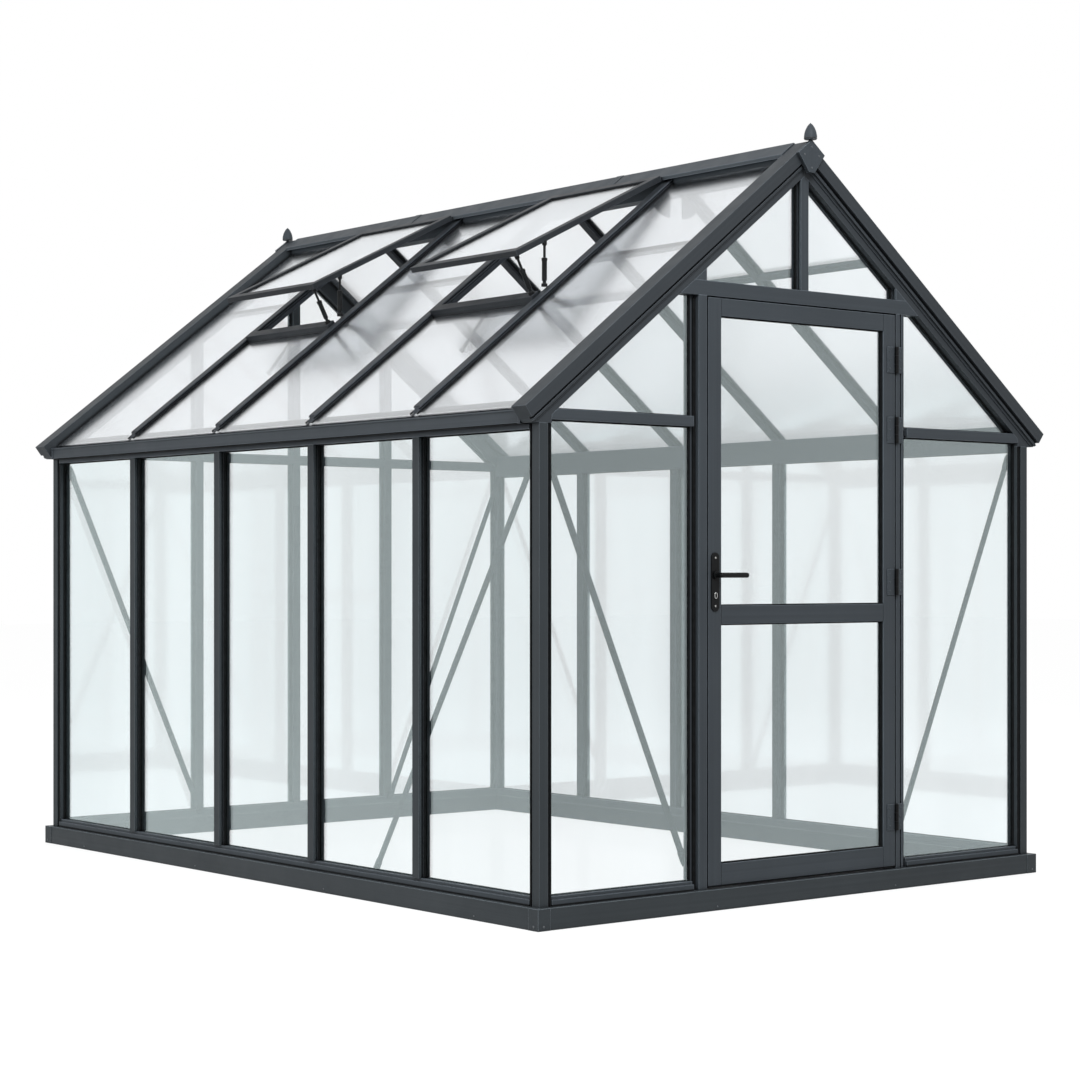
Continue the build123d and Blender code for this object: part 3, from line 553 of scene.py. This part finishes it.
def clear_glass(name, mirror_colour, head_on, power, haze):
    """Clear glass: the share that it mirrors head on, how late that share grows, and its haze."""
    pane = bpy.data.materials.new(name)
    pane.use_nodes = True
    tree = pane.node_tree
    tree.nodes.remove(tree.nodes["Principled BSDF"])
    film = spread(tree, noise(tree, 1.1, (1.6, 1.6, 0.25), 3.0), 0.0, 1.0)
    through = tree.nodes.new("ShaderNodeBsdfTransparent")
    tree.links.new(blend_colours(tree, film, glass_cast, glass_clear), through.inputs["Color"])
    mirror = tree.nodes.new("ShaderNodeBsdfGlossy")
    mirror.inputs["Color"].default_value = (*mirror_colour, 1)
    mirror.inputs["Roughness"].default_value = haze
    facing = tree.nodes.new("ShaderNodeLayerWeight")
    facing.inputs["Blend"].default_value = 0.5
    slope = tree.nodes.new("ShaderNodeMath")
    slope.operation = "POWER"
    slope.inputs[1].default_value = power
    tree.links.new(facing.outputs["Facing"], slope.inputs[0])
    share = spread(tree, slope.outputs[0], head_on, 1.0, (0.0, 1.0))
    surface = tree.nodes.new("ShaderNodeMixShader")
    tree.links.new(share, surface.inputs[0])
    tree.links.new(through.outputs[0], surface.inputs[1])
    tree.links.new(mirror.outputs[0], surface.inputs[2])
    tree.links.new(surface.outputs[0], tree.nodes["Material Output"].inputs["Surface"])
    return pane


wall_glass = ("glass_left", "glass_right", "glass_front", "glass_back", "door_glass")
slope_glass = ("glass_roof_left", "glass_roof_right")
roof_glass = slope_glass + ("vent_glass",)
wall_sheet = clear_glass("clear_glass_walls", wall_mirror, head_on=0.125, power=3.0, haze=0.05)
roof_sheet = clear_glass("clear_glass_roof", roof_mirror, head_on=0.11, power=2.2, haze=0.21)
finish_nodes(wall_sheet, *wall_glass)
finish_nodes(roof_sheet, *roof_glass)
bpy.context.scene.cycles.transparent_max_bounces = glass_faces_in_line

# Glazing gaskets
# Black rubber on both faces of every pane: a flat lip that laps the glass, and on the walls' outer
# face a wedge against the side of each bar. The free lower edges of panes have none.
seal_grip = 0.008
lip_wide = 0.004
lip_thick = 0.0025
wedge_wide = 0.0025
wedge_high = 0.006
sill_reach = 0.1
building_middle = Vector((0, 0, 1))


def broad_faces(node):
    """The two broad faces of each pane in a CAD node, as (corner loop, normal) pairs."""
    whole, groups = cad_solids(node)
    found = []
    for group in groups:
        for face in sorted(group, key=lambda part: -part.calc_area())[:2]:
            found.append(([corner.co.copy() for corner in face.verts], face.normal.copy()))
    whole.free()
    return found


def inset_loop(loop, normal, distance):
    """The corners of a flat convex outline, each moved in from both of its edges."""
    moved = []
    count = len(loop)
    for index in range(count):
        before = (loop[index] - loop[index - 1]).normalized()
        after = (loop[(index + 1) % count] - loop[index]).normalized()
        in_before = normal.cross(before)
        bisector = (in_before + normal.cross(after)).normalized()
        moved.append(loop[index] + bisector * (distance / bisector.dot(in_before)))
    return moved


def edge_strips(builder, loop, normal, start, wide, thick, wanted):
    """Strips on a flat outline, inside the edges that are wanted, mitred where two of them meet."""
    outer = inset_loop(loop, normal, start)
    inner = inset_loop(loop, normal, start + wide)
    count = len(loop)
    for index in range(count):
        after = (index + 1) % count
        if not wanted(loop[index], loop[after]):
            continue
        ring = [outer[index], outer[after], inner[after], inner[index]]
        low = [builder.verts.new(corner) for corner in ring]
        high = [builder.verts.new(corner + normal * thick) for corner in ring]
        builder.faces.new(list(reversed(low)))
        builder.faces.new(high)
        for step in range(4):
            next_step = (step + 1) % 4
            builder.faces.new((low[step], low[next_step], high[next_step], high[step]))


def any_edge(first, second):
    return True


def along_bar(first, second):
    """True for the sloping edges of a roof pane, which lie beside its bars."""
    run = (second - first).normalized()
    return abs(run.y) < 0.5 and abs(run.z) > 0.5


def upright_edge(first, second):
    return abs((second - first).normalized().z) > 0.95


def above_sill(first, second):
    return (first.z + second.z) / 2 > base_high + sill_reach


for node in wall_glass + roof_glass:
    gaskets = bmesh.new()
    for loop, normal in broad_faces(node):
        middle = sum(loop, Vector()) / len(loop)
        outside = normal.dot(middle - building_middle) > 0
        if node in slope_glass:
            lips = along_bar
        elif outside and node != "door_glass":
            lips = above_sill
        else:
            lips = any_edge
        edge_strips(gaskets, loop, normal, seal_grip, lip_wide, lip_thick, lips)
        if outside and node == "door_glass":
            edge_strips(gaskets, loop, normal, seal_grip, wedge_wide, wedge_high, any_edge)
        elif outside and node not in roof_glass:
            edge_strips(gaskets, loop, normal, seal_grip, wedge_wide, wedge_high, upright_edge)
    body = "door" if node == "door_glass" else "building"
    add_piece(node.replace("glass", "gaskets"), gaskets, seal_and_shadow_black, body)

# Braces
# Flat aluminium strips inside the glass, from the corners down to the sills, coated darker than the
# bars. Each end is stiffened by a tab with round ends, and a bolt goes through both.
brace_rise = 1.0
brace_apart = 0.05
tab_long = 0.060
tab_half = 0.0135
tab_thick = 0.0056
tab_bolt_in = 0.04
tab_steps = 7
brace_dark = powder_coat("brace_coat", (0.022, 0.026, 0.029), gloss=0.1)
finish_nodes(brace_dark, "braces")


def rounded_tab(builder, stand):
    """A flat tab with round ends, drawn along +X of a matrix and thick along its Z."""
    outline = []
    for end, start_angle in ((tab_long - tab_half, -90), (tab_half, 90)):
        for step in range(tab_steps + 1):
            angle = math.radians(start_angle + 180 * step / tab_steps)
            outline.append((end + tab_half * math.cos(angle), tab_half * math.sin(angle)))
    low = [builder.verts.new(stand @ Vector((x, y, -tab_thick / 2))) for x, y in outline]
    high = [builder.verts.new(stand @ Vector((x, y, tab_thick / 2))) for x, y in outline]
    builder.faces.new(list(reversed(low)))
    builder.faces.new(high)
    for index in range(len(outline)):
        after = (index + 1) % len(outline)
        builder.faces.new((low[index], low[after], high[after], high[index]))


def brace_runs():
    """The long edges of the braces as (low, high) ends, grouped by the brace that they belong to."""
    whole = cad_solids("braces")[0]
    runs = []
    for edge in whole.edges:
        low, high = sorted((corner.co.copy() for corner in edge.verts), key=lambda place: place.z)
        if high.z - low.z < brace_rise:
            continue
        for others in runs:
            if (others[0][0] - low).length < brace_apart:
                others.append((low, high))
                break
        else:
            runs.append([(low, high)])
    whole.free()
    return runs


tabs = bmesh.new()
for edges in brace_runs():
    low = sum((edge[0] for edge in edges), Vector()) / len(edges)
    high = sum((edge[1] for edge in edges), Vector()) / len(edges)
    on_long_wall = abs(high.x - low.x) < brace_apart
    normal = crossways if on_long_wall else lengthways
    for end, other in ((low, high), (high, low)):
        along = (other - end).normalized()
        stand = Matrix((along, normal.cross(along), normal)).transposed().to_4x4()
        stand.translation = end
        rounded_tab(tabs, stand)
        for side in (-1, 1):
            hex_bolt(tabs, end + along * tab_bolt_in + normal * side * tab_thick / 2, normal * side)
add_piece("brace_tabs", tabs, brace_dark)

# Eaves
# Eave beams and gutters are long extrusions. Each gutter has a rolled bead along its outer edge, an
# end piece lapped over each end with a dark joint beside it, and a black strip under its face as a painted
# shadow.
finish_nodes(frame_along, "eave_beam_left", "eave_beam_right", "gutter_left", "gutter_right", "eave_strips")
finish_nodes(frame_across, "eave_bars_front", "eave_bars_back")
bead_radius = 0.0032
gutter_in = 0.002
cap_wide = 0.013
cap_proud = 0.0016
joint_wide = 0.0025
joint_below = 0.0004
joint_proud = 0.0005
painted_shadow_line_in = 0.001
painted_shadow_line_back = 0.004
painted_shadow_line_high = 0.0025
beads = bmesh.new()
gutter_lines = bmesh.new()
for wall in ("left", "right"):
    plane = walls[wall]
    low, high = local_boxes("gutter_" + wall, plane)[0]
    start = plane @ Vector((low.x, high.y - bead_radius, high.z))
    long = high.x - low.x
    lathe(beads, [(0, bead_radius), (long, bead_radius)], plane.col[0].xyz, start, steps=12)
    for side in (-1, 1):
        end = side * long / 2
        cap = sorted((end, end - side * cap_wide))
        strip(beads, plane, cap, (low.y - cap_proud, high.y), (gutter_in, high.z + cap_proud))
        joint = sorted((end - side * cap_wide, end - side * (cap_wide + joint_wide)))
        strip(gutter_lines, plane, joint, (low.y - joint_below, high.y), (gutter_in, high.z + joint_proud))
    # Painted shadow: a black strip under the gutter's face, where its shade falls.
    painted_shadow_line = (low.y - painted_shadow_line_high, low.y)
    strip(gutter_lines, plane, (low.x, high.x), painted_shadow_line, (painted_shadow_line_in, high.z - painted_shadow_line_back))
add_piece("gutter_beads", beads, frame_along, smooth=True)
add_piece("gutter_lines", gutter_lines, seal_and_shadow_black)

# Roof bars
# Extrusions that run from the ridge over the eave beams, with low lips along the glass. A thin
# black tip closes each bar's lower end, over the gutter, and purlins tie the bars half way up.
bar_depth = 0.045
bar_glass_out = -0.025
bar_lip_share = 0.55
edge_slack = 1e-4


def roof_pitch():
    """The pitch of the roof, from the longest sloping edge of its first pane."""
    whole, groups = cad_solids("glass_roof_left")
    longest = Vector()
    for edge in {edge for face in groups[0] for edge in face.edges}:
        run = edge.verts[1].co - edge.verts[0].co
        if abs(run.y) < edge_slack and run.length > longest.length:
            longest = run
    whole.free()
    return math.atan2(abs(longest.z), abs(longest.x))


pitch = roof_pitch()
slope_sin = math.sin(pitch)
slope_cos = math.cos(pitch)
bars_low_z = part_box("roof_bars_left")[0].z
roof_apex = bars_low_z + bar_depth / slope_cos + half_width * math.tan(pitch)
roofs = {
    "left": face_plane((0, 0, roof_apex), -lengthways, (-slope_sin, 0, slope_cos)),
    "right": face_plane((0, 0, roof_apex), lengthways, (slope_sin, 0, slope_cos)),
}
slope_left = Vector((slope_cos, 0, slope_sin))
slope_right = Vector((-slope_cos, 0, slope_sin))
slope_colour = (0.037, 0.042, 0.049)
bar_slope_left = powder_coat("bar_coat_slope_left", slope_colour, slope_left)
bar_slope_right = powder_coat("bar_coat_slope_right", slope_colour, slope_right)
for side, paint in (("left", bar_slope_left), ("right", bar_slope_right)):
    plane = roofs[side]
    bars = bmesh.new()
    bars.from_mesh(frame["nodes"]["roof_bars_" + side].data)
    for corner in bars.verts:
        place = plane.inverted() @ corner.co
        if place.z > bar_glass_out:
            place.z = bar_glass_out + (place.z - bar_glass_out) * bar_lip_share
            corner.co = plane @ place
    low_bars = add_piece("roof_bar_profiles_" + side, bars, paint)
    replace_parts(low_bars, "roof_bars_" + side)
finish_nodes(frame_along, "purlins")
bar_foot = -half_width / slope_cos
tip_reach = (bar_foot - 0.002, bar_foot + 0.006)
tip_out = (-0.024, -0.0118)
tip_margin = 0.0012
tips = bmesh.new()
for side, plane in roofs.items():
    for low, high in local_boxes("roof_bars_" + side, plane):
        strip(tips, plane, (low.x + tip_margin, high.x - tip_margin), tip_reach, tip_out)
add_piece("roof_bar_tips", tips, seal_and_shadow_black)

# Barges and ridge
# Broad stepped extrusions edge the gables. A folded cap lies over the ridge beam, with a strap over
# each of its two joints, and cast ends with screws and acorn finials close it.
barge_colour = (0.042, 0.048, 0.054)
barge_left = powder_coat("barge_coat_left", barge_colour, slope_left)
barge_right = powder_coat("barge_coat_right", barge_colour, slope_right)
finish_nodes(barge_left, "barge_front_left", "barge_back_left")
finish_nodes(barge_right, "barge_front_right", "barge_back_right")
finish_nodes(frame_along, "ridge_beam", "ridge_cap", "ridge_gussets")
finish_nodes(frame_upright, "ridge_ends", "finials")
ends_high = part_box("ridge_ends")[1]
ridge_cap_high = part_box("ridge_cap")[1]
cap_top = (ridge_cap_high.z - roof_apex) * slope_cos
cap_ridge = cap_top * math.tan(pitch)
cap_reach = (cap_ridge - ridge_cap_high.x / slope_cos, cap_ridge)
strap_off = 0.62
strap_half = 0.018
strap_out = (cap_top, cap_top + 0.0016)
strap_joint_wide = 0.0028
strap_joint_out = (cap_top - 0.001, cap_top + 0.0004)
straps = bmesh.new()
joints = bmesh.new()
for plane in roofs.values():
    for middle in (-strap_off, strap_off):
        strip(straps, plane, (middle - strap_half, middle + strap_half), cap_reach, strap_out)
        joint = (middle + strap_half, middle + strap_half + strap_joint_wide)
        strip(joints, plane, joint, cap_reach, strap_joint_out)
add_piece("ridge_straps", straps, frame_along)
add_piece("ridge_joints", joints, seal_and_shadow_black)
small_screw_radius = 0.0036
end_screws = ((0, 0.024), (-0.034, 0.052), (0.034, 0.052), (0, 0.094))
finials_low, finials_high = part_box("finials")
finial_ring = ((0, 0.0205), (0.0022, 0.0225), (0.0044, 0.0222))
finial_ring_rise = 0.0075
cap_screws = bmesh.new()
finial_rings = bmesh.new()
for side in (-1, 1):
    for x, drop in end_screws:
        place = (x, side * ends_high.y, ends_high.z - drop)
        screw(cap_screws, place, (0, side, 0), radius=small_screw_radius)
    foot = (0, side * (finials_high.y - finials_high.x), finials_low.z + finial_ring_rise)
    lathe(finial_rings, finial_ring, upright, foot, steps=28)
add_piece("ridge_end_screws", cap_screws, screw_metal)
add_piece("finial_rings", finial_rings, bolt_black, smooth=True)
gusset_bolt_shares = (0.3, 0.65)
gusset_bolt_rise = 0.65
gusset_bolts = bmesh.new()
for low, high in local_boxes("ridge_gussets", Matrix.Identity(4)):
    z = low.z + (high.z - low.z) * gusset_bolt_rise
    for share in gusset_bolt_shares:
        x = low.x + (high.x - low.x) * share
        hex_bolt(gusset_bolts, (x, low.y, z), -lengthways)
        hex_bolt(gusset_bolts, (x, high.y, z), lengthways)
add_piece("gusset_bolts", gusset_bolts, bolt_black)

# Roof vents
# Each vent is a thin framed pane hinged under the ridge cap. It stands open on two black stays, each
# a tube on a foot with a thinner rod that slides in it, and a handle arm hangs below it, inside.
vent_colour = (0.024, 0.027, 0.031)
finish_nodes(powder_coat("vent_coat_along", vent_colour, lengthways), "vent_sills")
finish_nodes(powder_coat("vent_coat_slope", vent_colour, slope_left), "vent_frame_1", "vent_frame_2")
stay_black = powder_coat("stay_black", (0.006, 0.0065, 0.007), rough=0.4, edge=3.0, gloss=0.15)
stay_foot = ((0, 0.0105), (0.010, 0.0105), (0.012, 0.006), (0.019, 0.006), (0.021, 0.0088))
stay_tube_share = 0.56
stay_collar = ((0, 0.0088), (0.002, 0.0102), (0.010, 0.0102), (0.012, 0.0046))
stay_head = ((-0.016, 0.0046), (-0.013, 0.0085), (0, 0.0085))
arm_knob = ((0, 0.004), (0.003, 0.0095), (0.012, 0.0095), (0.016, 0.0058))
arm_radius = 0.0058
arm_eye_radius = 0.0078
arm_eye_shares = (0.9, 0.93)
arm_drop = 0.05


def moved_up(profile, start):
    return [(start + height, radius) for height, radius in profile]


def stay_profile(long):
    return [*stay_foot, *moved_up(stay_collar, stay_tube_share * long), *moved_up(stay_head, long)]


def arm_profile(long):
    neck, eye = (share * long for share in arm_eye_shares)
    return [*arm_knob, (neck, arm_radius), (eye, arm_eye_radius), (long, arm_eye_radius)]


stays = bmesh.new()
sills_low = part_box("vent_sills")[0].z
whole, groups = cad_solids("vent_stays")
for group in groups:
    edges = {edge for face in group for edge in face.edges}
    longest = max(edges, key=lambda edge: edge.calc_length())
    along = (longest.verts[1].co - longest.verts[0].co).normalized()
    if along.z < 0:
        along = -along
    corners = [corner.co for face in group for corner in face.verts]
    middle = sum(corners, Vector()) / len(corners)
    reach = [(corner - middle).dot(along) for corner in corners]
    low = middle + along * min(reach)
    long = max(reach) - min(reach)
    profile = arm_profile(long) if low.z < sills_low - arm_drop else stay_profile(long)
    lathe(stays, profile, along, low)
whole.free()
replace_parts(add_piece("vent_stay_tubes", stays, stay_black, smooth=True), "vent_stays")

# Door
# A framed leaf: the rails butt between the stiles, with open joints where they meet, and a brush
# strip hangs under the leaf. A rubber stop lines the posts and the header around it.
finish_nodes(frame_upright, "door_stiles")
finish_nodes(frame_across, "door_rails", "door_header")
door_low, door_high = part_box("door_stiles")
rail_joint_in = 0.0012
rail_joint_over = 0.0002
rail_joint_out = (-0.001, 0.0003)
door_lines = bmesh.new()
front = walls["front"]
for low, high in local_boxes("door_rails", front):
    for side in (-1, 1):
        edge = side * high.x
        across = sorted((edge - side * rail_joint_in, edge + side * rail_joint_over))
        strip(door_lines, front, across, (low.y, high.y), rail_joint_out)
brush_margin = 0.003
brush_high = 0.007
brush_out = (-0.026, -0.003)
brush_across = (door_low.x + brush_margin, door_high.x - brush_margin)
strip(door_lines, front, brush_across, (door_low.z - brush_high, door_low.z), brush_out)
add_piece("door_joints_and_brush", door_lines, seal_and_shadow_black, body="door")
post_in = 0.446
stop_wide = 0.0025
stop_out = (-0.014, -0.005)
stops = bmesh.new()
for side in (-1, 1):
    across = sorted((side * post_in, side * (post_in - stop_wide)))
    strip(stops, front, across, (base_high, header_low), stop_out)
strip(stops, front, (-post_in, post_in), (header_low - stop_wide, header_low), stop_out)
add_piece("door_stop_seals", stops, seal_and_shadow_black)

# Handle
# A long plate with rounded ends on each face of the stile, a bent lever on the spindle and the
# ring of the lock cylinder, all in satin black but for the steel ring and the screws.
handle_black = powder_coat("handle_black", (0.0045, 0.005, 0.0055), rough=0.4, gloss=0.12)
finish_nodes(handle_black, "door_handle_plates", "door_lever")
plate_low, plate_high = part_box("door_handle_plates")
lever_low, lever_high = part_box("door_lever")
plate_x = (plate_low.x + plate_high.x) / 2
plate_screw_inset = 0.017
plate_screw_radius = 0.0038
lock_z = 1.016
lock_steps = 28
lock_half = (0.0064, 0.0105)
lock_ring = 0.0022
lock_thick = 0.0028
lock_floor = 0.0004
fittings = bmesh.new()
for y, out in ((plate_low.y, -1), (plate_high.y, 1)):
    for z in (plate_low.z + plate_screw_inset, plate_high.z - plate_screw_inset):
        screw(fittings, (plate_x, y, z), (0, out, 0), radius=plate_screw_radius)
    rings = []
    for inset, height in ((0, 0), (0, lock_thick), (lock_ring, lock_thick), (lock_ring, lock_floor)):
        ring = []
        for step in range(lock_steps):
            angle = 2 * math.pi * step / lock_steps
            x = (lock_half[0] - inset) * math.cos(angle)
            z = (lock_half[1] - inset) * math.sin(angle)
            ring.append(fittings.verts.new((plate_x + x, y + out * height, lock_z + z)))
        rings.append(ring)
    for lower, upper in zip(rings, rings[1:] + rings[:1]):
        for step in range(lock_steps):
            after = (step + 1) % lock_steps
            fittings.faces.new((lower[step], lower[after], upper[after], upper[step]))
steel = powder_coat("brushed_steel", (0.42, 0.42, 0.41), rough=0.28, edge=1.3, gloss=0.6)
steel.node_tree.nodes["Principled BSDF"].inputs["Metallic"].default_value = 0.9
add_piece("lock_ring_and_screws", fittings, steel, body="door")
lever_joint = next(joint for joint in frame["joints"] if joint["name"] == "lever_turn")
lever_z = lever_joint["pos_m"][2]
lever_radius = 0.0085
lever_tips = bmesh.new()
dome = [(0, lever_radius), (0.0024, 0.0078), (0.0042, 0.0058), (0.0052, 0.0030), (0.0055, 0.0006)]
for y in (lever_low.y + lever_radius, lever_high.y - lever_radius):
    lathe(lever_tips, dome, crossways, (lever_high.x, y, lever_z), steps=20)
add_piece("lever_tips", lever_tips, handle_black, body="lever", smooth=True)

# Hinges
# Four butt hinges. Their leaves are coated like the frame and held by screws, and the round
# knuckles on the steel pins are black.
hinge_joint = next(joint for joint in frame["joints"] if joint["name"] == "door_hinge")
pin_x, pin_y = hinge_joint["pos_m"][:2]
knuckle_reach = 0.0075
door_screw_in = 0.012
post_screw_in = 0.009
leaf_face = 0.003
leaf_screw_rises = (-0.030, 0, 0.030)


def is_knuckle(place):
    return math.hypot(place.x - pin_x, place.y - pin_y) < knuckle_reach


def is_leaf(place):
    return not is_knuckle(place)


def part_of(node, wanted):
    """A copy of those faces of a CAD node whose middles are wanted."""
    copy = bmesh.new()
    copy.from_mesh(frame["nodes"][node].data)
    extra = [face for face in copy.faces if not wanted(face.calc_center_median())]
    bmesh.ops.delete(copy, geom=extra, context="FACES")
    return copy


for node, body in (("door_hinge_leaves", "door"), ("post_hinge_leaves", "building")):
    leaves = add_piece(node + "_plates", part_of(node, is_leaf), frame_upright, body, closed=False)
    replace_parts(leaves, node)
    knuckles = part_of(node, is_knuckle)
    add_piece(node + "_knuckles", knuckles, handle_black, body, closed=False)
    heads = bmesh.new()
    for low, high in local_boxes(node, Matrix.Identity(4)):
        middle = (low.z + high.z) / 2
        x = low.x + door_screw_in if body == "door" else high.x - post_screw_in
        for rise in leaf_screw_rises:
            place = (x, -half_length - leaf_face, middle + rise)
            screw(heads, place, -lengthways, radius=small_screw_radius)
    add_piece(node + "_screws", heads, bar_upright, body)
